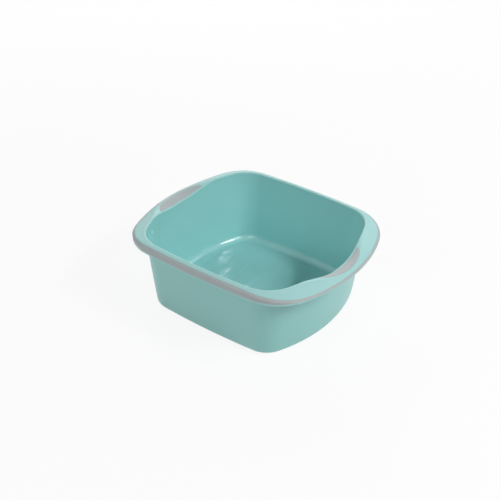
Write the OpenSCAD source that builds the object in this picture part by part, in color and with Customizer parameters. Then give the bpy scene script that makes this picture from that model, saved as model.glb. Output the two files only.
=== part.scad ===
// Washing up bowl, moulded in two shots: a hard one-piece shell, a soft band round its
// rim and a soft pad let into each handle. The rim rises on the long sides and dips at
// the two ends, where it widens into handles. Its top slopes down outward all round, and
// each handle has a scoop on the mouth's side for the palm. Millimetres, +X along the
// length, +Z up.
// The origin is the middle of the footprint, on the surface that the bowl stands on.

/* [Mouth] */
// Length of the mouth
mouth_l = 322; // [306:1:350]
// Width of the mouth
mouth_w = 288.6; // [270:0.2:310]
// Bow of the mouth at each end
mouth_end_bow = 42.4; // [34:0.2:48]
// Bow of the mouth along each side
mouth_side_bow = 11.8; // [8:0.2:15]
// Radius of the mouth's corners
mouth_corner_r = 54; // [44:1:64]
// Rounding of the mouth's edge
mouth_round_r = 2.2; // [1.2:0.1:3]

/* [Rim] */
// Width of the rim at the handles, from the mouth to its widest line
handle_w = 29; // [24:0.5:36]
// Width of the rim on the long sides
side_w = 11.4; // [9.6:0.1:15]
// Bow of the rim at each end
rim_end_bow = 47; // [40:1:54]
// Bow of the rim along each side
rim_side_bow = 12; // [8:0.5:16]
// Radius of the rim's corners, seen from above
rim_corner_r = 77; // [66:1:84]

/* [Tub] */
// Length of the tub just above its rounded foot
base_l = 298; // [280:1:310]
// Width of the tub just above its rounded foot
base_w = 266.6; // [250:0.2:276]
// Bow of the tub's foot at each end
base_end_bow = 37.8; // [30:0.2:44]
// Bow of the tub's foot along each side
base_side_bow = 8.2; // [5:0.2:12]
// Radius of the tub's corners at its foot
base_corner_r = 41.4; // [34:0.2:50]
// Thickness of the wall
wall_t = 2.2; // [1.6:0.1:3]
// Thickness of the floor
floor_t = 2.4; // [1.8:0.1:3.2]
// Rounding between the wall and the floor, outside
foot_round_r = 10; // [7:0.5:14]
// Width of the ring that the bowl stands on
foot_ring_w = 4; // [2.5:0.5:7]
// Height of the floor's underside above the ring
foot_ring_h = 1.8; // [1:0.1:2.5]

/* [Heights] */
// Overall height, at the mouth on the long sides
side_h = 134; // [122:0.5:150]
// How far the mouth dips at the handles
mouth_dip = 12.4; // [6:0.2:16]
// Fall of the flange from the mouth to the band on the long sides
side_fall = 2.1; // [1:0.1:4]
// How far the band dips at the handles
band_dip = 9.5; // [6:0.1:13]
// How far the flange's top bulges above a straight slope
flange_bulge = 1; // [0:0.1:2]
// Thickness of the flange between the mouth and the outer edge
flange_t = 2.6; // [2.2:0.1:3.4]
// Plan angle at which the mouth starts to rise beside a handle
mouth_rise_from = 5; // [0:1:12]
// Plan angle at which the mouth reaches its side height
mouth_rise_to = 31; // [26:1:40]
// Plan angle at which the outer edge starts to rise
edge_rise_from = 20; // [12:1:26]
// Plan angle at which the outer edge reaches its side height
edge_rise_to = 60; // [50:1:70]

/* [Scoops in the handles] */
// Length of a scoop
scoop_l = 156; // [140:1:170]
// Share of the flange's width that a scoop takes at its middle
scoop_share = 0.78; // [0.6:0.01:0.84]

/* [Turned-down lip] */
// Thickness of the lip behind the band
lip_t = 1.9; // [1.4:0.1:2.6]
// Height of the bare lip under the band at the handles
lip_bare_h = 2.2; // [1.4:0.1:3.4]
// How far the bare lip stands back from the band's face
lip_setback = 0.2; // [0:0.05:0.5]
// Fillet under the flange
under_round_r = 2; // [1:0.1:3]

/* [Ribs under the rim] */
// Ribs in each quarter of the rim
rib_count = 6; // [3:1:8]
// Thickness of a rib
rib_t = 1.6; // [1.2:0.1:2.4]
// Length under each handle that stays clear of ribs
finger_l = 124; // [114:1:134]
// How far a rib's lower edge stays above the lip's
rib_rise = 0.8; // [0.4:0.1:2]

/* [Soft band] */
// Thickness of the band
band_t = 1.5; // [1.1:0.1:2]
// Width of the band's strip on top of the rim
band_top_w = 3.4; // [2.8:0.1:4.4]
// How far that strip falls to the rim's widest line
band_drop = 1.9; // [1:0.1:2.4]
// Depth of the band's face on the long sides, below its shelf
band_side_h = 9.5; // [6:0.5:11.5]
// Depth of the band's face at the handles, below its shelf
band_handle_h = 0.3; // [0.2:0.1:1]
// Plan angle at which the band starts to deepen
band_grow_from = 24; // [18:1:28]
// Plan angle at which the band reaches its full depth
band_grow_to = 62; // [54:1:70]

/* [Grip pads] */
// Length of a pad
pad_l = 106; // [90:1:112]
// Thickness of a pad
pad_t = 1.4; // [1:0.1:1.6]
// How far the middle of a pad stands proud of the flange
pad_proud = 0.5; // [0.2:0.1:0.8]
// Hard edge left between the mouth's rounding and a pad
pad_inset = 0.9; // [0.6:0.1:2]
// Hard edge left between a pad and the crest of its scoop
pad_margin = 0.5; // [0.3:0.1:2]

/* [Hidden] */

shell_colour = [0.62, 0.80, 0.79];
soft_colour = [0.63, 0.67, 0.68];

// Steps along the end, corner and side arcs of a quarter outline
end_steps = 10;
corner_steps = 10;
side_steps = 6;
// Steps round the tub's rounded foot and round the mouth's edge
foot_steps = 5;
mouth_steps = 3;
// Steps across the flange's top and its underside
flange_steps = 6;
under_steps = 4;
// Stations along a pad, and how squarely its tips are cut
pad_steps = 22;
tip_squareness = 10;
// How far a cutter or a rib runs past the face that it has to cross
overrun = 0.6;
// Chamfer round the lip's lower edge
lip_chamfer = 0.5;

function mix(a, b, t) = a + (b - a) * t;
function ease(t) = let (s = min(max(t, 0), 1)) s * s * (3 - 2 * s);
function along(ang) = [cos(ang), sin(ang)];
function up_to(p, z) = [p.x, p.y, z];
function bow_r(half_chord, bow) = (half_chord * half_chord + bow * bow) / (2 * bow);

// The crossing of two circles that lies on the +X side of the line between them
function meet(c1, r1, c2, r2) =
    let (d = c2 - c1, l = norm(d), u = d / l,
         a = (r1 * r1 - r2 * r2 + l * l) / (2 * l),
         h = sqrt(max(r1 * r1 - a * a, 0)))
    c1 + a * u + h * [-u.y, u.x];

// A quarter outline is three tangent arcs: end, corner and side, each as [centre, radius],
// and the two angles at which one arc hands over to the next.
function outline(l, w, end_bow, side_bow, corner_r) =
    let (end_r = bow_r(w / 2, end_bow), side_r = bow_r(l / 2, side_bow),
         end_c = [l / 2 - end_r, 0], side_c = [0, w / 2 - side_r],
         c = meet(end_c, end_r - corner_r, side_c, side_r - corner_r))
    [[end_c, end_r], [c, corner_r], [side_c, side_r],
     atan2(c.y, c.x - end_c.x), atan2(c.y - side_c.y, c.x)];

rim_l = mouth_l + 2 * handle_w;
rim_w = mouth_w + 2 * side_w;
rim = outline(rim_l, rim_w, rim_end_bow, rim_side_bow, rim_corner_r);
mouth = outline(mouth_l, mouth_w, mouth_end_bow, mouth_side_bow, mouth_corner_r);
base = outline(base_l, base_w, base_end_bow, base_side_bow, base_corner_r);

// A place on a quarter outline is a number k: 0 to 1 along the end arc, 1 to 2 along the
// corner and 2 to 3 along the side. off moves it inward, square to the outline.
function heading(o, k) = k <= 1 ? k * o[3] : k <= 2 ? mix(o[3], o[4], k - 1) : mix(o[4], 90, k - 2);
function spot(o, k, off = 0) =
    let (a = o[k <= 1 ? 0 : k <= 2 ? 1 : 2]) a[0] + (a[1] - off) * along(heading(o, k));
function plan_angle(o, k) = let (p = spot(o, k)) atan2(p.y, p.x);

// Heights round the rim, from the plan angle of each place
function rise(o, k, from, to) = ease((plan_angle(o, k) - from) / (to - from));
side_edge_h = side_h - side_fall;
function mouth_z(k) = side_h - mouth_dip * (1 - rise(mouth, k, mouth_rise_from, mouth_rise_to));
function edge_z(k) = side_edge_h - band_dip * (1 - rise(rim, k, edge_rise_from, edge_rise_to));
shelf_fall = 0.4 * band_drop;
function shelf_z(k) = edge_z(k) - band_t;
function band_low_z(k) = shelf_z(k) - shelf_fall
    - mix(band_handle_h, band_side_h, rise(rim, k, band_grow_from, band_grow_to));
lip_z = band_low_z(0) - lip_bare_h;
floor_z = foot_ring_h + floor_t;

// The tub's wall runs straight from its foot to the mouth. side is 0 outside and 1 inside.
draft = atan(((mouth_l - base_l) / 2 + wall_t) / (side_h - foot_round_r));
foot_z = foot_round_r * (1 - sin(draft));
function wall_spot(k, z, side) =
    mix(spot(base, k, side * wall_t), spot(mouth, k, (side - 1) * wall_t),
        (z - foot_z) / (mouth_z(k) - foot_z));

// Rounded foot of the wall: from flat at a = 0 to the wall's draft at the last step
inner_round_r = foot_round_r - wall_t;
inner_foot_z = floor_z + inner_round_r * (1 - sin(draft));
function foot_angle(i) = (90 - draft) * i / foot_steps;
function foot_point(k, i, r, side, z_flat, z_wall) =
    let (a = foot_angle(i), q = r * (cos(draft) - sin(a)))
    up_to(wall_spot(k, z_wall, side) - q * along(heading(base, k)), z_flat + r * (1 - cos(a)));

// A cubic from height z0 to z1 for u from 0 to 1, with slopes m0 and m1 at its ends
function cubic(z0, m0, z1, m1, u) =
    z0 + u * (m0 + u * (3 * (z1 - z0) - 2 * m0 - m1 + u * (m0 + m1 - 2 * (z1 - z0))));

// The flange's top runs from the mouth's rounding, t = 0, to the band's upper border, t = 1.
function flange_spot(k, t) = mix(spot(mouth, k, -mouth_round_r), spot(rim, k, band_top_w), t);
function flange_w(k) = norm(flange_spot(k, 1) - flange_spot(k, 0));

// The scoop rises from the dipped mouth to a crest, and the slope falls from the crest to
// the border. Past the scoop the crest lies just outside the mouth.
least_crest = 0.06;
edge_steepness = 1.2;
scoop_w = scoop_share * flange_w(0);
function crest_t(k) =
    max(least_crest, scoop_w * (1 - pow(2 * spot(mouth, k).y / scoop_l, 2)) / flange_w(k));
function crest_z(k) =
    let (t = crest_t(k)) mix(side_h, edge_z(k), t) + 4 * flange_bulge * t * (1 - t);
// Slope at the crest: that of the outer part alone beside a scoop, halfway in a scoop
function crest_slope(k) =
    let (t = crest_t(k), fall = edge_z(k) - crest_z(k), lift = crest_z(k) - mouth_z(k))
    mix(fall / (1 - t), lift / t, ease((t - least_crest) / 0.3) / 2);
function flange_z(k, t) =
    let (c = crest_t(k), fall = edge_z(k) - crest_z(k), lift = crest_z(k) - mouth_z(k))
    t < c ? cubic(mouth_z(k), lift, crest_z(k), crest_slope(k) * c, t / c)
          : cubic(crest_z(k), crest_slope(k) * (1 - c), edge_z(k), edge_steepness * fall,
                  (t - c) / (1 - c));
function on_flange(k, t, up = 0) = up_to(flange_spot(k, t), flange_z(k, t) + up);

// The hollow under the flange, from the tub's wall to the back of the lip
lip_back = band_t + lip_t;
function hollow_in(k) = spot(mouth, k, -wall_t);
function hollow_out(k) = spot(rim, k, lip_back);
function hollow_w(k) = norm(hollow_out(k) - hollow_in(k));
function hollow_round(k) = min(under_round_r, 0.4 * hollow_w(k));
function hollow_point(k, t, down = 0) =
    up_to(mix(hollow_in(k), hollow_out(k), t), flange_z(k, t) - flange_t - down);

// The recess for the band, from its upper border to its lower edge
function band_seat(k) = [
    up_to(spot(rim, k, band_top_w), shelf_z(k)),
    up_to(spot(rim, k, band_t), shelf_z(k) - shelf_fall),
    up_to(spot(rim, k, band_t), band_low_z(k))
];

// The shell's section at k, from the floor over the rim and down to the foot ring
function shell_section(k) =
    let (w = hollow_w(k), r = hollow_round(k), zr = mouth_z(k) - flange_t - r)
    concat(
        [for (i = [0 : foot_steps]) foot_point(k, i, inner_round_r, 1, floor_z, inner_foot_z)],
        [for (i = [0 : mouth_steps])
            let (a = 90 * i / mouth_steps)
            up_to(spot(mouth, k, -mouth_round_r * (1 - cos(a))),
                  mouth_z(k) - mouth_round_r * (1 - sin(a)))],
        [for (i = [1 : flange_steps]) on_flange(k, i / flange_steps)],
        band_seat(k),
        [up_to(spot(rim, k, lip_setback), band_low_z(k)),
         up_to(spot(rim, k, lip_setback), lip_z + lip_chamfer),
         up_to(spot(rim, k, lip_setback + lip_chamfer), lip_z),
         up_to(hollow_out(k), lip_z),
         up_to(hollow_out(k), max(shelf_z(k) - shelf_fall - lip_t, lip_z + lip_chamfer))],
        [for (i = [0 : under_steps]) hollow_point(k, mix(1 - r / w, r / w, i / under_steps))],
        [up_to(wall_spot(k, zr, 0), zr)],
        [for (i = [foot_steps : -1 : 0]) foot_point(k, i, foot_round_r, 0, 0, foot_z)],
        let (q = foot_round_r * cos(draft))
        [up_to(spot(base, k, q + foot_ring_w), 0),
         up_to(spot(base, k, q + foot_ring_w + foot_ring_h), foot_ring_h)]);

// The band's section: its strip on top rolls over to the face, and its back is its seat
function band_roll(u) = band_drop * (0.55 * u + 0.45 * pow(u, 4));
function band_section(k) = concat(
    [for (u = [0, 0.4, 0.7, 0.9, 1])
        up_to(spot(rim, k, band_top_w * (1 - u)), edge_z(k) - band_roll(u))],
    [up_to(spot(rim, k), band_low_z(k))],
    [for (i = [2 : -1 : 0]) band_seat(k)[i]]);

// Stations round the whole outline: [k, x sign, y sign]
quarter = concat([for (i = [0 : end_steps - 1]) i / end_steps],
                 [for (i = [0 : corner_steps - 1]) 1 + i / corner_steps],
                 [for (i = [0 : side_steps - 1]) 2 + i / side_steps], [3]);
last = len(quarter) - 1;
stations = concat([for (i = [0 : last - 1]) [quarter[i], 1, 1]],
                  [for (i = [last : -1 : 1]) [quarter[i], -1, 1]],
                  [for (i = [0 : last - 1]) [quarter[i], -1, -1]],
                  [for (i = [last : -1 : 1]) [quarter[i], 1, -1]]);

function turned(points, sx, sy) = [for (p = points) [p.x * sx, p.y * sy, p.z]];

// Skin over n sections of m points each. ring joins the last section to the first, and
// loop joins each section's last point to its first. Open ends are capped.
function skin_faces(n, m, ring, loop) =
    [for (i = [0 : n - (ring ? 1 : 2)], j = [0 : m - (loop ? 1 : 2)])
        let (a = i * m + j, b = i * m + (j + 1) % m,
             c = ((i + 1) % n) * m + (j + 1) % m, d = ((i + 1) % n) * m + j)
        each [[a, c, b], [a, d, c]]];

module shell() {
    sections = [for (s = stations) turned(shell_section(s[0]), s[1], s[2])];
    n = len(sections);
    m = len(sections[0]);
    polyhedron(
        points = [for (s = sections, p = s) p],
        faces = concat(skin_faces(n, m, true, false),
                       [[for (i = [n - 1 : -1 : 0]) i * m]],
                       [[for (i = [0 : n - 1]) i * m + m - 1]]));
}

module band_ring() {
    sections = [for (s = stations) turned(band_section(s[0]), s[1], s[2])];
    polyhedron(points = [for (s = sections, p = s) p],
               faces = skin_faces(len(sections), len(sections[0]), true, true));
}

// A pad lines its scoop along the end arc. s runs from -1 to 1 along it, and v from 0 at
// the mouth to 1 at the crest. Its tips are cut square and rounded.
pad_k = asin(pad_l / 2 / mouth[0][1]) / mouth[3];
function pad_share(s) = sqrt(1 - pow(abs(s), tip_squareness));
function pad_point(s, v, up) =
    let (k = abs(s) * pad_k, w = flange_w(k), full = crest_t(k) - (pad_inset + pad_margin) / w,
         p = on_flange(k, pad_inset / w + v * full * pad_share(s), up))
    [p.x, s < 0 ? -p.y : p.y, p.z];
tip_ang = 84;
pad_stations = [for (i = [0 : pad_steps]) sin(mix(-tip_ang, tip_ang, i / pad_steps))];

module pad_solid(profile) {
    sections = [for (s = pad_stations) [for (q = profile) pad_point(s, q[0], q[1])]];
    n = len(sections);
    m = len(sections[0]);
    polyhedron(
        points = [for (s = sections, p = s) p],
        faces = concat(skin_faces(n, m, false, true),
                       [[for (j = [0 : m - 1]) j]],
                       [[for (j = [m - 1 : -1 : 0]) (n - 1) * m + j]]));
}

// The back of a pad and the floor of its pocket are one surface.
pad_back = [for (v = [1, 0.67, 0.33, 0]) [v, -pad_t]];
pad_face = [for (v = [0, 0.06, 0.2, 0.5, 0.8, 0.94, 1])
    [v, pad_proud * pow(1 - pow(abs(2 * v - 1), 3), 0.5)]];

module grip_pad() {
    pad_solid(concat(pad_face, pad_back));
}

module pad_pocket() {
    pad_solid(concat([for (v = [0, 0.5, 1]) [v, overrun + pad_proud]], pad_back));
}

// A rib is a thin gusset from the tub's wall to the back of the lip
module rib(k) {
    out = hollow_out(k);
    in = hollow_in(k);
    dir = (out - in) / hollow_w(k);
    turn = atan2(dir.y, dir.x);
    r = rib_t / 4;
    low = lip_z + rib_rise + r;
    reach = overrun - r;
    corners = concat(
        [up_to(out + reach * dir, low), up_to(wall_spot(k, low, 0) - reach * dir, low)],
        [for (t = [0, 0.25, 0.5, 0.75, 1])
            hollow_point(k, t, -reach) + (2 * t - 1) * reach * up_to(dir, 0)]);
    hull()
        for (p = corners)
            translate(p) rotate([90, 0, turn]) cylinder(r = r, h = rib_t, center = true, $fn = 8);
}

rib_first = asin(finger_l / 2 / mouth[0][1]) / mouth[3];
rib_last = 2.75;

module ribs() {
    for (i = [0 : rib_count - 1], sx = [0, 1], sy = [0, 1])
        mirror([sx, 0, 0]) mirror([0, sy, 0]) rib(mix(rib_first, rib_last, i / (rib_count - 1)));
}

module bowl() {
    color(shell_colour)
        difference() {
            union() {
                shell();
                ribs();
            }
            pad_pocket();
            mirror([1, 0, 0]) pad_pocket();
        }
}

module rim_band() {
    color(soft_colour) band_ring();
}

module grip_pad_left() {
    color(soft_colour) mirror([1, 0, 0]) grip_pad();
}

module grip_pad_right() {
    color(soft_colour) grip_pad();
}

bowl();
rim_band();
grip_pad_left();
grip_pad_right();
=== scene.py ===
import math
import bmesh
import bpy
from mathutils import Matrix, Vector


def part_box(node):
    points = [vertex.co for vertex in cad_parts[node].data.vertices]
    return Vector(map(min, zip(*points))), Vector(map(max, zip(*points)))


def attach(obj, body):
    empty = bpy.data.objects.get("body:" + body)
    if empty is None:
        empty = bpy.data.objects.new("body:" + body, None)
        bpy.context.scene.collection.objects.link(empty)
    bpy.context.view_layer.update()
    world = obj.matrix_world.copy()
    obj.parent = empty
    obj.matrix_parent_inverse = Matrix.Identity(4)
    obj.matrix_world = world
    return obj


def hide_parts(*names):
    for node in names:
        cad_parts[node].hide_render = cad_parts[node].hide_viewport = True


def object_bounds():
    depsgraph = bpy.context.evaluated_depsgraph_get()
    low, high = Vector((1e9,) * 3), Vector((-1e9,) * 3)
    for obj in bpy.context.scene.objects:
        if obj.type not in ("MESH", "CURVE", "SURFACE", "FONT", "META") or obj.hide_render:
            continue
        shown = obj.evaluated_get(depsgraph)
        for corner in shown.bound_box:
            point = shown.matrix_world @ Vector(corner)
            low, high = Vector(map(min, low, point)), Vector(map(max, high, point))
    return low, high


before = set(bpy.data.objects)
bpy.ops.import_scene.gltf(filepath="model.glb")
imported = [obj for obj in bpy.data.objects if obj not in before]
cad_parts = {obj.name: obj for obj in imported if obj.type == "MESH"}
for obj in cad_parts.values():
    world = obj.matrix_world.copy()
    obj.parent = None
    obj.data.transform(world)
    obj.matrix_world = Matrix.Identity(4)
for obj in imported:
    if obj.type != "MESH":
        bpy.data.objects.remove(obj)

# a washing up bowl: one hard shell, a soft band round its rim, a soft pad in each handle
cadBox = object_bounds()
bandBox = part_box("rim_band")
print("frame loaded:", ", ".join(sorted(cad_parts)))


# the three outlines seen from above, each a quarter of end arc, corner arc and side arc
mouthSize = dict(length=0.322, width=0.2886, endBow=0.0424, sideBow=0.0118, cornerRadius=0.054)
footSize = dict(length=0.298, width=0.2666, endBow=0.0378, sideBow=0.0082, cornerRadius=0.0414)
rimSize = dict(length=bandBox[1].x - bandBox[0].x, width=bandBox[1].y - bandBox[0].y,
               endBow=0.047, sideBow=0.012, cornerRadius=0.077)


def bowRadius(halfChord, bow):
    return (halfChord ** 2 + bow ** 2) / (2 * bow)


def makeOutline(size):
    endRadius = bowRadius(size["width"] / 2, size["endBow"])
    sideRadius = bowRadius(size["length"] / 2, size["sideBow"])
    corner = size["cornerRadius"]
    endCentre = Vector((size["length"] / 2 - endRadius, 0))
    sideCentre = Vector((0, size["width"] / 2 - sideRadius))
    # the corner's centre keeps its own radius inside both long arcs
    line = sideCentre - endCentre
    gap = line.length
    step = ((endRadius - corner) ** 2 - (sideRadius - corner) ** 2 + gap ** 2) / (2 * gap)
    rise = math.sqrt((endRadius - corner) ** 2 - step ** 2)
    across = line / gap
    cornerCentre = endCentre + step * across + rise * Vector((-across.y, across.x))
    turnIn = math.atan2(cornerCentre.y, cornerCentre.x - endCentre.x)
    turnOut = math.atan2(cornerCentre.y - sideCentre.y, cornerCentre.x)
    return dict(centres=(endCentre, cornerCentre, sideCentre),
                radii=(endRadius, corner, sideRadius), turns=(0, turnIn, turnOut, math.pi / 2))


mouth, foot, rim = makeOutline(mouthSize), makeOutline(footSize), makeOutline(rimSize)


def mix(a, b, t):
    return a + (b - a) * t


def ease(t):
    t = min(max(t, 0), 1)
    return t * t * (3 - 2 * t)


# a place k runs from 0 to 1 on the end arc, 1 to 2 on the corner and 2 to 3 on the side
def headingAt(outline, k):
    arc = min(int(k), 2)
    return mix(outline["turns"][arc], outline["turns"][arc + 1], k - arc)


def spot(outline, k, inward=0.0):
    arc = min(int(k), 2)
    turn = headingAt(outline, k)
    reach = outline["radii"][arc] - inward
    return outline["centres"][arc] + reach * Vector((math.cos(turn), math.sin(turn)))


def riseAt(outline, k, start, end):
    p = spot(outline, k)
    return ease((math.degrees(math.atan2(p.y, p.x)) - start) / (end - start))


# heights round the rim, from the overall height down; each pair gives the directions in degrees,
# seen from the middle and counted from the handle, between which a change happens
rimHeights = dict(top=cadBox[1].z, mouthDip=0.0124, mouthRise=(5, 31), sideFall=0.0021,
                  bandDip=0.0095, bandRise=(20, 60), bulge=0.001, thickness=0.0026,
                  scoopLength=0.156, scoopShare=0.78, leastCrest=0.06, crestEase=0.3,
                  edgeSteepness=1.2)
bandShape = dict(thickness=0.0015, topWidth=0.0034, topFall=0.0032, straightShare=0.75, bendPower=4,
                 sideHeight=0.0095, handleHeight=0.0003, leastSide=0.00066, grow=(24, 62),
                 shelfFall=0.00076, seam=0.00012, edgeRound=0.0005, mostRound=0.4,
                 topSteps=16, sideSteps=6, roundSteps=5)


def mouthZ(k):
    return rimHeights["top"] - rimHeights["mouthDip"] * (1 - riseAt(mouth, k, *rimHeights["mouthRise"]))


def edgeZ(k):
    low = rimHeights["top"] - rimHeights["sideFall"]
    return low - rimHeights["bandDip"] * (1 - riseAt(rim, k, *rimHeights["bandRise"]))


def shelfZ(k):
    return edgeZ(k) - bandShape["thickness"]


def shelfEndZ(k):
    return shelfZ(k) - bandShape["shelfFall"]


def bandLowZ(k):
    depth = mix(bandShape["handleHeight"], bandShape["sideHeight"], riseAt(rim, k, *bandShape["grow"]))
    return shelfEndZ(k) - depth


# the flange slopes from the mouth's rounded edge, t = 0, to the band, t = 1
shellShape = dict(wall=0.0022, floor=0.0024, footRound=0.010, floorRound=0.0125, mouthRound=0.0022,
                  ringWidth=0.004, ringHeight=0.0018, ringBevel=0.0005, ringRound=0.0002, ringRunout=0.0006,
                  lip=0.0019, lipBare=0.0022, lipSetback=0.0002, lipStep=0.0002, lipRound=0.0006,
                  underRound=0.002, mostRound=0.4, underSwell=0.12)


def flangeSpot(k, t):
    return mix(spot(mouth, k, -shellShape["mouthRound"]), spot(rim, k, bandShape["topWidth"]), t)


def flangeWidth(k):
    return (flangeSpot(k, 1) - flangeSpot(k, 0)).length


scoopWidth = rimHeights["scoopShare"] * flangeWidth(0)
lipZ = bandLowZ(0) - shellShape["lipBare"]  # the lip ends level all round


# where across the flange its top is highest: far out on the handles, by the mouth elsewhere
def crestAt(k):
    share = 1 - (2 * spot(mouth, k).y / rimHeights["scoopLength"]) ** 2
    return max(rimHeights["leastCrest"], scoopWidth * share / flangeWidth(k))


# from z0 with slope m0 to z1 with slope m1
def cubic(z0, m0, z1, m1, u):
    return z0 + u * (m0 + u * (3 * (z1 - z0) - 2 * m0 - m1 + u * (m0 + m1 - 2 * (z1 - z0))))


def flangeZ(k, t):
    crest = crestAt(k)
    low, high = mouthZ(k), edgeZ(k)
    top = mix(rimHeights["top"], high, crest) + 4 * rimHeights["bulge"] * crest * (1 - crest)
    top = min(top, rimHeights["top"])
    fall, lift = high - top, top - low
    even = ease((crest - rimHeights["leastCrest"]) / rimHeights["crestEase"]) / 2
    slope = mix(fall / (1 - crest), lift / crest, even)
    if t < crest:
        return cubic(low, lift, top, slope * crest, t / crest)
    u = (t - crest) / (1 - crest)
    return cubic(top, slope * (1 - crest), high, rimHeights["edgeSteepness"] * fall, u)


def lifted(p, z):
    return Vector((p.x, p.y, z))


def onFlange(k, t, up=0.0):
    return lifted(flangeSpot(k, t), flangeZ(k, t) + up)


# meshes are lofted over sections, each a list of points in order: ring joins the last section
# to the first, loop the ends of each section, and zoneEnds is where the next materials start
def buildMesh(sections, ring, loop, zoneEnds=()):
    mesh = bmesh.new()
    rows = [[mesh.verts.new(p) for p in section] for section in sections]
    for i in range(len(rows) - (0 if ring else 1)):
        here, there = rows[i], rows[(i + 1) % len(rows)]
        for j in range(len(here) - (0 if loop else 1)):
            n = (j + 1) % len(here)
            face = mesh.faces.new((here[j], there[j], there[n], here[n]))
            face.material_index = sum(j >= end for end in zoneEnds)
    return mesh, rows


def addObject(name, data):
    thing = bpy.data.objects.new(name, data)
    bpy.context.scene.collection.objects.link(thing)
    return thing


meshFinish = dict(weld=1e-6, sharpAngle=38)


def finishMesh(name, mesh):
    bmesh.ops.remove_doubles(mesh, verts=mesh.verts, dist=meshFinish["weld"])
    bmesh.ops.dissolve_degenerate(mesh, edges=mesh.edges, dist=meshFinish["weld"])
    bmesh.ops.recalc_face_normals(mesh, faces=mesh.faces)
    data = bpy.data.meshes.new(name)
    mesh.to_mesh(data)
    mesh.free()
    for face in data.polygons:
        face.use_smooth = True
    data.set_sharp_from_angle(angle=math.radians(meshFinish["sharpAngle"]))
    return addObject(name, data)


# points on a circle of radius 1, between two angles in degrees
def unitArc(start, end, steps):
    turns = [math.radians(mix(start, end, i / steps)) for i in range(steps + 1)]
    return [Vector((math.cos(a), math.sin(a))) for a in turns]


# the pads run along the end arc, s from 0 at the middle to 1 at the tip
padShape = dict(length=0.106, thickness=0.0014, proud=0.0005, inset=0.0005, margin=0.0005,
                squareness=10, gap=0.00016, shoulder=0.0004, shoulderSteps=4, mostShare=0.3,
                crownPower=4, tipPower=40, tipTurn=0.985, recessRound=0.00018, leastShare=1e-4,
                steps=26, crossSteps=9)
padReach = math.asin(padShape["length"] / 2 / mouth["radii"][0]) / mouth["turns"][1]


def padBorders(k):
    s = min(k / padReach, 1)
    width = flangeWidth(k)
    inner = padShape["inset"] / width
    full = crestAt(k) - (padShape["inset"] + padShape["margin"]) / width
    return inner, inner + full * math.sqrt(1 - s ** padShape["squareness"])


# stations round the whole rim, closer together at the pads' tips
stationSteps = dict(end=14, corner=24, side=14)


def quarterStations():
    ks = [padReach * math.sin(math.pi / 2 * i / padShape["steps"]) for i in range(padShape["steps"])]
    ks += [mix(padReach, 1, i / stationSteps["end"]) for i in range(stationSteps["end"])]
    ks += [1 + i / stationSteps["corner"] for i in range(stationSteps["corner"])]
    ks += [2 + i / stationSteps["side"] for i in range(stationSteps["side"] + 1)]
    return ks


quarter = quarterStations()
stations = [(k, 1, 1) for k in quarter[:-1]] + [(k, -1, 1) for k in quarter[:0:-1]]
stations += [(k, -1, -1) for k in quarter[:-1]] + [(k, 1, -1) for k in quarter[:0:-1]]


def turned(points, sx, sy):
    return [Vector((p.x * sx, p.y * sy, p.z)) for p in points]


# the tub's wall runs straight from foot to mouth, side 0 outside and 1 inside
draft = math.atan(((mouthSize["length"] - footSize["length"]) / 2 + shellShape["wall"])
                  / (rimHeights["top"] - shellShape["footRound"]))
footTop = shellShape["footRound"] * (1 - math.sin(draft))
floorZ = shellShape["ringHeight"] + shellShape["floor"]
innerTop = floorZ + shellShape["floorRound"] * (1 - math.sin(draft))


def wallSpot(k, z, side):
    wall = shellShape["wall"]
    low, high = spot(foot, k, side * wall), spot(mouth, k, (side - 1) * wall)
    return mix(low, high, (z - footTop) / (mouthZ(k) - footTop))


def footPoints(k, radius, side, flatZ, wallZ, steps):
    turn = headingAt(foot, k)
    out = Vector((math.cos(turn), math.sin(turn)))
    points = []
    for i in range(steps + 1):
        a = (math.pi / 2 - draft) * i / steps
        points.append(lifted(wallSpot(k, wallZ, side) - radius * (math.cos(draft) - math.sin(a)) * out,
                             flatZ + radius * (1 - math.cos(a))))
    return points


def shrunk(p, share, z):
    return Vector((p.x * share, p.y * share, z))


shellSteps = dict(floorRings=(0.0, 0.3, 0.6, 0.85), footRound=14, wall=8, mouthRound=8,
                  before=2, pocket=8, after=10, afterBunching=0.9, lipRound=5, under=8)


def pocketPoints(k):
    # the flange's top with the pad's recess let into it
    inner, outer = padBorders(k)
    width = flangeWidth(k)
    hasPad = outer - inner > padShape["leastShare"]
    depth = padShape["thickness"] if hasPad else 0
    soft = padShape["recessRound"] if hasPad else 0
    points = [onFlange(k, inner * i / shellSteps["before"]) for i in range(shellSteps["before"])]
    points += [onFlange(k, inner - soft / width), onFlange(k, inner, -soft), onFlange(k, inner, -depth)]
    points += [onFlange(k, mix(inner, outer, i / shellSteps["pocket"]), -depth)
               for i in range(1, shellSteps["pocket"])]
    start = outer + soft / width
    points += [onFlange(k, outer, -depth), onFlange(k, outer, -soft), onFlange(k, start)]
    for i in range(1, shellSteps["after"]):
        share = (i / shellSteps["after"]) ** shellSteps["afterBunching"]
        points.append(onFlange(k, mix(start, 1, share)))
    return points


def insidePoints(k):
    # from the middle of the floor up the wall, with the count of points that lie on the floor
    shape = shellShape
    inside = footPoints(k, shape["floorRound"], 1, floorZ, innerTop, shellSteps["footRound"])
    points = [shrunk(inside[0], share, floorZ) for share in shellSteps["floorRings"]]
    floorEnd = len(points)
    points += inside
    wallEnd = lifted(spot(mouth, k), mouthZ(k) - shape["mouthRound"])
    points += [mix(inside[-1], wallEnd, i / shellSteps["wall"]) for i in range(1, shellSteps["wall"])]
    return points, floorEnd


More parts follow.
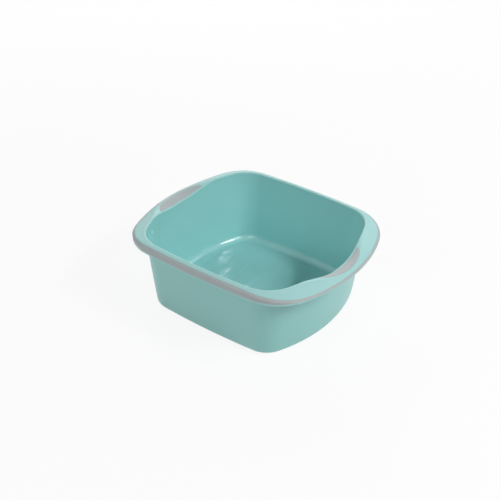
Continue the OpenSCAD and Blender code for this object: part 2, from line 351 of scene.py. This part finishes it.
def lipPoints(k):
    # round the flange's end down to the shelf that the band sits on, then the bare lip
    shape = shellShape
    seam, top, back = bandShape["seam"], bandShape["topWidth"], bandShape["thickness"]
    outside, behind, r = shape["lipSetback"], back + shape["lip"], shape["lipRound"]
    low, step = bandLowZ(k), shape["lipStep"]
    # the edge beside the seam is cut back by two widths of the seam
    path = [(top + 2 * seam, edgeZ(k) + 0.2 * seam), (top, edgeZ(k) - 2 * seam), (top, shelfZ(k)),
            (back, shelfEndZ(k)), (back, low), (outside + step, low), (outside, low - step)]
    steps = shellSteps["lipRound"]
    path += [(outside + r * (1 - q.x), lipZ + r * (1 + q.y)) for q in unitArc(0, -90, steps)]
    path += [(behind - r * (1 + q.x), lipZ + r * (1 + q.y)) for q in unitArc(-90, -180, steps)]
    return [lifted(spot(rim, k, inward), z) for inward, z in path]


def underPoints(k):
    # behind the lip, the underside of the flange and the tub's wall, down to the foot
    shape = shellShape
    behind = bandShape["thickness"] + shape["lip"]
    points = [lifted(spot(rim, k, behind), max(shelfEndZ(k) - shape["lip"], lipZ + shape["lipRound"]))]
    hollowIn, hollowOut = spot(mouth, k, -shape["wall"]), spot(rim, k, behind)
    width = (hollowOut - hollowIn).length
    r = min(shape["underRound"], shape["mostRound"] * width)
    for i in range(shellSteps["under"] + 1):
        t = mix(1 - r / width, r / width, i / shellSteps["under"])
        points.append(lifted(mix(hollowIn, hollowOut, t), flangeZ(k, t) - rimHeights["thickness"]))
    wallTop = mouthZ(k) - rimHeights["thickness"] - r
    top = lifted(wallSpot(k, wallTop, 0), wallTop)
    swell = shape["underSwell"]
    points += [mix(points[-1], top, 0.5) + lifted((points[-1] - top).xy * swell, r * swell), top]
    outsideFoot = footPoints(k, shape["footRound"], 0, 0, footTop, shellSteps["footRound"])
    points += [mix(top, outsideFoot[-1], i / shellSteps["wall"]) for i in range(1, shellSteps["wall"])]
    return points + outsideFoot[::-1]


def basePoints(k):
    # the ring that the bowl stands on, and the floor set up inside it
    shape = shellShape
    inward = shape["footRound"] * math.cos(draft) + shape["ringWidth"]
    height = shape["ringHeight"]
    points = [lifted(spot(foot, k, inward), 0),
              lifted(spot(foot, k, inward + shape["ringBevel"]), shape["ringRound"]),
              lifted(spot(foot, k, inward + height), height - shape["ringRound"])]
    under = spot(foot, k, inward + height + shape["ringRunout"])
    return points + [shrunk(under, share, height) for share in (1, *shellSteps["floorRings"][::-1])]


def shellSection(k):
    # all round one section, with the places where the next finish starts
    points, floorEnd = insidePoints(k)
    polishedEnd = len(points)
    r = shellShape["mouthRound"]
    for i in range(shellSteps["mouthRound"]):
        a = math.pi / 2 * i / shellSteps["mouthRound"]
        points.append(lifted(spot(mouth, k, -r * (1 - math.cos(a))), mouthZ(k) - r * (1 - math.sin(a))))
    points += pocketPoints(k) + lipPoints(k)
    rimEnd = len(points)
    return points + underPoints(k) + basePoints(k), (floorEnd, polishedEnd, rimEnd)


def makeShell():
    sections = [turned(shellSection(k)[0], sx, sy) for k, sx, sy in stations]
    mesh = buildMesh(sections, True, False, shellSection(0)[1])[0]
    addRibs(mesh)
    return finishMesh("bowlShell", mesh)


# thin gussets under the rim, between the tub's wall and the back of the lip
wallZone = 3  # they take the outer wall's material, darkened by painted shade
ribShape = dict(count=6, thickness=0.0016, fingerLength=0.124, last=2.75, rise=0.0008, sink=0.0004,
                steps=8)


def addRibs(mesh):
    first = math.asin(ribShape["fingerLength"] / 2 / mouth["radii"][0]) / mouth["turns"][1]
    low = lipZ + ribShape["rise"]
    for i in range(ribShape["count"]):
        k = mix(first, ribShape["last"], i / (ribShape["count"] - 1))
        hollowIn = spot(mouth, k, -shellShape["wall"])
        hollowOut = spot(rim, k, bandShape["thickness"] + shellShape["lip"])
        along = (hollowOut - hollowIn).normalized()
        sink = ribShape["sink"]
        edge = [lifted(hollowOut + sink * along, low), lifted(wallSpot(k, low, 0) - sink * along, low)]
        for j in range(ribShape["steps"] + 1):
            t = j / ribShape["steps"]
            point = mix(hollowIn, hollowOut, t) + (2 * t - 1) * sink * along
            edge.append(lifted(point, flangeZ(k, t) - rimHeights["thickness"] + sink))
        half = Vector((-along.y, along.x, 0)) * ribShape["thickness"] / 2
        for sx in (1, -1):
            for sy in (1, -1):
                front = [mesh.verts.new(p) for p in turned([q + half for q in edge], sx, sy)]
                back = [mesh.verts.new(p) for p in turned([q - half for q in edge], sx, sy)]
                faces = [mesh.faces.new(front), mesh.faces.new(back[::-1])]
                for j in range(len(edge)):
                    n = (j + 1) % len(edge)
                    faces.append(mesh.faces.new((front[j], front[n], back[n], back[j])))
                for face in faces:
                    face.material_index = wallZone


def bandSection(k):
    shape = bandShape
    seam, top, low = shape["seam"], shape["topWidth"], bandLowZ(k)
    # the band's own edge beside the seam is cut back too
    path = [(top - seam, shelfZ(k)), (top - seam, edgeZ(k) - 2.5 * seam), (top - 2 * seam, edgeZ(k) - seam)]
    # the top falls away steeply enough to hide the band on the far side
    fall = min(shape["topFall"], edgeZ(k) - low - shape["leastSide"])
    straight = shape["straightShare"]
    for i in range(1, shape["topSteps"] + 1):
        u = math.sin(math.pi / 2 * i / shape["topSteps"])
        bent = straight * u + (1 - straight) * u ** shape["bendPower"]
        path.append((top * (1 - u), edgeZ(k) - fall * bent))
    start = path[-1][1]
    r = min(shape["edgeRound"], shape["mostRound"] * (start - low))
    path += [(0, mix(start, low + r, i / shape["sideSteps"])) for i in range(1, shape["sideSteps"])]
    path += [(r * (1 - q.x), low + r * (1 + q.y)) for q in unitArc(0, -90, shape["roundSteps"])]
    path += [(shape["thickness"], low), (shape["thickness"], shelfEndZ(k))]
    return [lifted(spot(rim, k, inward), z) for inward, z in path]


def makeBand():
    sections = [turned(bandSection(k), sx, sy) for k, sx, sy in stations]
    return finishMesh("softBand", buildMesh(sections, True, True)[0])


def padSection(s):
    # from the pocket's floor up the side, over the crown and down again
    shape = padShape
    k = abs(s) * padReach
    inner, outer = padBorders(k)
    width = flangeWidth(k)
    gap = min(shape["gap"] / width, shape["mostShare"] * (outer - inner))
    inner, outer = inner + gap, outer - gap
    shoulder = min(shape["shoulder"] / width, shape["mostShare"] * (outer - inner))
    half = shape["shoulder"] / 2
    tip = max(0.0, 1 - abs(s) ** shape["tipPower"])
    turns = [math.pi / 2 * i / shape["shoulderSteps"] for i in range(1, shape["shoulderSteps"])]
    places = [(inner, -shape["thickness"]), (inner, -half)]
    places += [(inner + shoulder * (1 - math.cos(a)), shape["shoulder"] * (math.sin(a) - 0.5))
               for a in turns]
    for i in range(shape["crossSteps"] + 1):
        v = i / shape["crossSteps"]
        crown = half + (shape["proud"] - half) * (1 - (2 * v - 1) ** shape["crownPower"]) * tip
        places.append((mix(inner + shoulder, outer - shoulder, v), crown))
    places += [(outer - shoulder * (1 - math.cos(a)), shape["shoulder"] * (math.sin(a) - 0.5))
               for a in turns[::-1]]
    places += [(outer, -half), (outer, -shape["thickness"])]
    points = [onFlange(k, t, up) for t, up in places]
    return [Vector((p.x, p.y if s >= 0 else -p.y, p.z)) for p in points]


def makePad(name, sx):
    shape = padShape
    reach = 1 - 2 * shape["gap"] / shape["length"]
    count = 2 * shape["steps"]
    turns = [math.pi / 2 * shape["tipTurn"] * (2 * i / count - 1) for i in range(count + 1)]
    sections = [turned(padSection(math.sin(a) * reach), sx, 1) for a in turns]
    mesh, rows = buildMesh(sections, False, True)
    mesh.faces.new(rows[0])
    mesh.faces.new(rows[-1][::-1])
    return finishMesh(name, mesh)


# materials
def newSocket(group, name, inOut, kind="NodeSocketFloat"):
    group.interface.new_socket(name=name, in_out=inOut, socket_type=kind)


def addNode(tree, kind, **settings):
    node = tree.nodes.new(kind)
    for name, value in settings.items():
        setattr(node, name, value)
    return node


def join(tree, source, target):
    tree.links.new(source, target)


# fine spark grain left by the mould, as a height and as a change of roughness
grainNoise = dict(roughness=0.6, cloudScale=14, cloudDetail=2, cloudMean=0.5)


def makeGrainGroup():
    group = bpy.data.node_groups.new("mouldGrain", "ShaderNodeTree")
    newSocket(group, "Grain Size", "INPUT")
    newSocket(group, "Fineness", "INPUT")
    newSocket(group, "Stretch", "INPUT", "NodeSocketVector")
    newSocket(group, "Roughness", "INPUT")
    newSocket(group, "Spread", "INPUT")
    newSocket(group, "Height", "OUTPUT")
    newSocket(group, "Roughness", "OUTPUT")
    inside, outside = addNode(group, "NodeGroupInput"), addNode(group, "NodeGroupOutput")
    coords = addNode(group, "ShaderNodeTexCoord")
    grain = addNode(group, "ShaderNodeTexNoise")
    grain.inputs["Roughness"].default_value = grainNoise["roughness"]
    stretch = addNode(group, "ShaderNodeVectorMath", operation="MULTIPLY")
    cloud = addNode(group, "ShaderNodeTexNoise")
    cloud.inputs["Scale"].default_value = grainNoise["cloudScale"]
    cloud.inputs["Detail"].default_value = grainNoise["cloudDetail"]
    centred = addNode(group, "ShaderNodeMath", operation="SUBTRACT")
    centred.inputs[1].default_value = grainNoise["cloudMean"]
    swing = addNode(group, "ShaderNodeMath", operation="MULTIPLY")
    total = addNode(group, "ShaderNodeMath", operation="ADD", use_clamp=True)
    join(group, coords.outputs["Object"], stretch.inputs[0])
    join(group, inside.outputs["Stretch"], stretch.inputs[1])
    join(group, stretch.outputs[0], grain.inputs["Vector"])
    join(group, coords.outputs["Object"], cloud.inputs["Vector"])
    join(group, inside.outputs["Grain Size"], grain.inputs["Scale"])
    join(group, inside.outputs["Fineness"], grain.inputs["Detail"])
    join(group, cloud.outputs["Fac"], centred.inputs[0])
    join(group, centred.outputs[0], swing.inputs[0])
    join(group, inside.outputs["Spread"], swing.inputs[1])
    join(group, swing.outputs[0], total.inputs[0])
    join(group, inside.outputs["Roughness"], total.inputs[1])
    join(group, grain.outputs["Fac"], outside.inputs["Height"])
    join(group, total.outputs[0], outside.inputs["Roughness"])
    return group


# slow drift of the pigment through a moulding, between a thin and a deep tone
driftNoise = dict(detail=3, roughness=0.55)
mixSockets = dict(first=6, second=7, result=2)  # the mix node's colour sockets share their names


def makeTintGroup():
    group = bpy.data.node_groups.new("pigmentDrift", "ShaderNodeTree")
    newSocket(group, "Thin", "INPUT", "NodeSocketColor")
    newSocket(group, "Deep", "INPUT", "NodeSocketColor")
    newSocket(group, "Drift Size", "INPUT")
    newSocket(group, "Color", "OUTPUT", "NodeSocketColor")
    inside, outside = addNode(group, "NodeGroupInput"), addNode(group, "NodeGroupOutput")
    coords = addNode(group, "ShaderNodeTexCoord")
    drift = addNode(group, "ShaderNodeTexNoise")
    drift.inputs["Detail"].default_value = driftNoise["detail"]
    drift.inputs["Roughness"].default_value = driftNoise["roughness"]
    blend = addNode(group, "ShaderNodeMix", data_type="RGBA")
    join(group, coords.outputs["Object"], drift.inputs["Vector"])
    join(group, inside.outputs["Drift Size"], drift.inputs["Scale"])
    join(group, drift.outputs["Fac"], blend.inputs["Factor"])
    join(group, inside.outputs["Thin"], blend.inputs[mixSockets["first"]])
    join(group, inside.outputs["Deep"], blend.inputs[mixSockets["second"]])
    join(group, blend.outputs[mixSockets["result"]], outside.inputs["Color"])
    return group


grainGroup, tintGroup = makeGrainGroup(), makeTintGroup()

# the bowl is one plastic in one colour, yet each zone gets its own colour: lighter on the rim's top
# (painted light), darker on the outer wall and on the floor (painted shade), with the inside walls between;
# only the drift within a zone is the pigment's own
rimLitLook = dict(thin=(0.374, 0.656, 0.645, 1), deep=(0.352, 0.633, 0.621, 1), driftSize=7.0,
               roughness=0.46, spread=0.08, grainSize=1500.0, fineness=3.0, stretch=(1, 1, 1),
               grainHeight=0.00002, strength=0.35)
wallShadedLook = dict(rimLitLook, thin=(0.300, 0.605, 0.580, 1), deep=(0.275, 0.580, 0.555, 1), roughness=0.38)
insideLook = dict(thin=(0.328, 0.662, 0.652, 1), deep=(0.308, 0.638, 0.628, 1), driftSize=7.0,
                  roughness=0.045, spread=0.01, grainSize=30.0, fineness=0.0, stretch=(1.6, 0.4, 1.6),
                  grainHeight=0.0002, strength=1.0)
floorShadedLook = dict(insideLook, thin=(0.306, 0.626, 0.618, 1), deep=(0.287, 0.603, 0.595, 1),
                 roughness=0.11, stretch=(3.4, 0.3, 1.6), grainHeight=0.0010)
softLook = dict(thin=(0.434, 0.480, 0.488, 1), deep=(0.394, 0.440, 0.448, 1), driftSize=12.0,
                roughness=0.62, spread=0.10, grainSize=2200.0, fineness=3.0, stretch=(1, 1, 1),
                grainHeight=0.00005, strength=0.6)


def makeMouldedMaterial(name, look, specular=0.5, sheen=0.0):
    material = bpy.data.materials.new(name)
    material.use_nodes = True
    tree = material.node_tree
    surface = tree.nodes["Principled BSDF"]
    surface.inputs["Specular IOR Level"].default_value = specular
    surface.inputs["Sheen Weight"].default_value = sheen
    tint = addNode(tree, "ShaderNodeGroup", node_tree=tintGroup)
    tint.inputs["Thin"].default_value = look["thin"]
    tint.inputs["Deep"].default_value = look["deep"]
    tint.inputs["Drift Size"].default_value = look["driftSize"]
    grain = addNode(tree, "ShaderNodeGroup", node_tree=grainGroup)
    grain.inputs["Grain Size"].default_value = look["grainSize"]
    grain.inputs["Fineness"].default_value = look["fineness"]
    grain.inputs["Stretch"].default_value = look["stretch"]
    grain.inputs["Roughness"].default_value = look["roughness"]
    grain.inputs["Spread"].default_value = look["spread"]
    bump = addNode(tree, "ShaderNodeBump")
    bump.inputs["Strength"].default_value = look["strength"]
    bump.inputs["Distance"].default_value = look["grainHeight"]
    join(tree, tint.outputs["Color"], surface.inputs["Base Color"])
    join(tree, grain.outputs["Roughness"], surface.inputs["Roughness"])
    join(tree, grain.outputs["Height"], bump.inputs["Height"])
    join(tree, bump.outputs["Normal"], surface.inputs["Normal"])
    return material


# the shell's four materials share one plastic: their roughness differs by finish, their colours only by
# painted light and shade
rimLitPlastic = makeMouldedMaterial("rimLitPlastic", rimLitLook, specular=0.35)
wallShadedPlastic = makeMouldedMaterial("wallShadedPlastic", wallShadedLook)
floorShadedPlastic = makeMouldedMaterial("floorShadedPlastic", floorShadedLook, specular=0.4)
insidePlastic = makeMouldedMaterial("insidePlastic", insideLook, specular=0.6)
softGrip = makeMouldedMaterial("softGrip", softLook, specular=0.35, sheen=0.15)
print("materials made")


def place(piece, node, slot, *materials):
    for material in materials:
        piece.data.materials.append(material)
    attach(piece, "root")
    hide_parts(node)
    return piece


shell = place(makeShell(), "bowl", "shell", floorShadedPlastic, insidePlastic, rimLitPlastic, wallShadedPlastic)
print("shell lofted:", len(shell.data.polygons), "faces")

place(makeBand(), "rim_band", "soft_band", softGrip)
place(makePad("padLeft", -1), "grip_pad_left", "soft_pad", softGrip)
place(makePad("padRight", 1), "grip_pad_right", "soft_pad", softGrip)
print("band and pads lofted")


# floor and daylight-white surroundings
studioLook = dict(reach=6.0, color=(0.9, 0.9, 0.9, 1), glow=0.88, fadeStart=0.4, fadeEnd=2.2)


def whiteRays(tree):
    # 1 where the camera, a reflection or glass looks straight at the surface
    path = addNode(tree, "ShaderNodeLightPath")
    first = addNode(tree, "ShaderNodeMath", operation="MAXIMUM")
    both = addNode(tree, "ShaderNodeMath", operation="MAXIMUM")
    join(tree, path.outputs["Is Camera Ray"], first.inputs[0])
    join(tree, path.outputs["Is Glossy Ray"], first.inputs[1])
    join(tree, first.outputs[0], both.inputs[0])
    join(tree, path.outputs["Is Transmission Ray"], both.inputs[1])
    return both.outputs[0]


def makeFloor():
    mesh = bmesh.new()
    r = studioLook["reach"]
    mesh.faces.new([mesh.verts.new(p) for p in ((-r, -r, 0), (r, -r, 0), (r, r, 0), (-r, r, 0))])
    data = bpy.data.meshes.new("studioFloor")
    mesh.to_mesh(data)
    mesh.free()
    material = bpy.data.materials.new("studioFloor")
    material.use_nodes = True
    tree = material.node_tree
    tree.nodes.clear()
    matte = addNode(tree, "ShaderNodeBsdfDiffuse")
    matte.inputs["Color"].default_value = studioLook["color"]
    glow = addNode(tree, "ShaderNodeEmission")
    # far from the bowl the floor turns as white as the world, so no horizon shows
    coords = addNode(tree, "ShaderNodeTexCoord")
    away = addNode(tree, "ShaderNodeVectorMath", operation="LENGTH")
    fade = addNode(tree, "ShaderNodeMapRange", interpolation_type="SMOOTHSTEP")
    fade.inputs["From Min"].default_value = studioLook["fadeStart"]
    fade.inputs["From Max"].default_value = studioLook["fadeEnd"]
    fade.inputs["To Min"].default_value = studioLook["glow"]
    amount = addNode(tree, "ShaderNodeMath", operation="MULTIPLY")
    both = addNode(tree, "ShaderNodeMixShader")
    end = addNode(tree, "ShaderNodeOutputMaterial")
    join(tree, coords.outputs["Object"], away.inputs[0])
    join(tree, away.outputs["Value"], fade.inputs["Value"])
    join(tree, whiteRays(tree), amount.inputs[0])
    join(tree, fade.outputs["Result"], amount.inputs[1])
    join(tree, amount.outputs[0], both.inputs["Fac"])
    join(tree, matte.outputs[0], both.inputs[1])
    join(tree, glow.outputs[0], both.inputs[2])
    join(tree, both.outputs[0], end.inputs["Surface"])
    data.materials.append(material)
    addObject("studioFloor", data)


def makeWorld():
    world = bpy.data.worlds.new("studioWorld")
    bpy.context.scene.world = world
    world.use_nodes = True
    tree = world.node_tree
    tree.nodes.clear()
    white = addNode(tree, "ShaderNodeBackground")
    white.inputs["Color"].default_value = (1, 1, 1, 1)
    end = addNode(tree, "ShaderNodeOutputWorld")
    join(tree, whiteRays(tree), white.inputs["Strength"])
    join(tree, white.outputs[0], end.inputs["Surface"])


# azimuth 0 stands in front, on the -Y side, and grows towards +X
lampRig = dict(distance=2.2, target=(0, 0, 0.08))
lamps = [
    dict(name="keyBox", azimuth=91, elevation=40, size=(0.4, 0.5), watts=11),
    dict(name="keyCore", azimuth=101, elevation=42, size=(0.2, 0.4), watts=8.5, mirrored=False),
    dict(name="streakBox", azimuth=112, elevation=47, size=(0.34, 0.11), watts=8.8),
    dict(name="sparkBox", azimuth=8, elevation=62, size=(0.24, 0.24), watts=3),
    dict(name="frontBox", azimuth=8, elevation=30, size=(0.9, 0.9), watts=8),
    dict(name="frontLeftBox", azimuth=340, elevation=25, size=(1.1, 1.1), watts=4),
    dict(name="leftFrontBox", azimuth=300, elevation=25, size=(1.2, 1.2), watts=6),
    dict(name="leftBox", azimuth=240, elevation=31, size=(1.2, 1.2), watts=9),
    dict(name="backLeftBox", azimuth=215, elevation=25, size=(1.1, 1.1), watts=8.5),
    dict(name="backBox", azimuth=180, elevation=40, size=(1.2, 1.2), watts=9),
]


def sphereSpot(azimuth, elevation, distance):
    a, e = math.radians(azimuth), math.radians(elevation)
    return Vector((math.sin(a) * math.cos(e), -math.cos(a) * math.cos(e), math.sin(e))) * distance


def aim(thing, at):
    thing.rotation_euler = (at - thing.location).to_track_quat("-Z", "Y").to_euler()


def makeLamp(name, azimuth, elevation, size, watts, mirrored=True):
    data = bpy.data.lights.new(name, "AREA")
    data.shape = "RECTANGLE"
    data.size, data.size_y = size
    data.energy = watts
    lamp = addObject(name, data)
    lamp.location = sphereSpot(azimuth, elevation, lampRig["distance"])
    aim(lamp, Vector(lampRig["target"]))
    lamp.visible_glossy = mirrored  # off: it lights the bowl and makes no streak in it


# the view that the photo was taken from
view = dict(azimuth=37.39, elevation=33.64, distance=1.6714, target=(-0.0325, 0.0259, 0.060), lens=70.99)


def makeCamera():
    data = bpy.data.cameras.new("photoView")
    data.lens = view["lens"]
    camera = addObject("photoView", data)
    target = Vector(view["target"])
    camera.location = target + sphereSpot(view["azimuth"], view["elevation"], view["distance"])
    aim(camera, target)
    bpy.context.scene.camera = camera


makeFloor()
makeWorld()
for lamp in lamps:
    makeLamp(**lamp)
makeCamera()
bpy.context.scene.view_settings.view_transform = "Standard"
print("studio set")
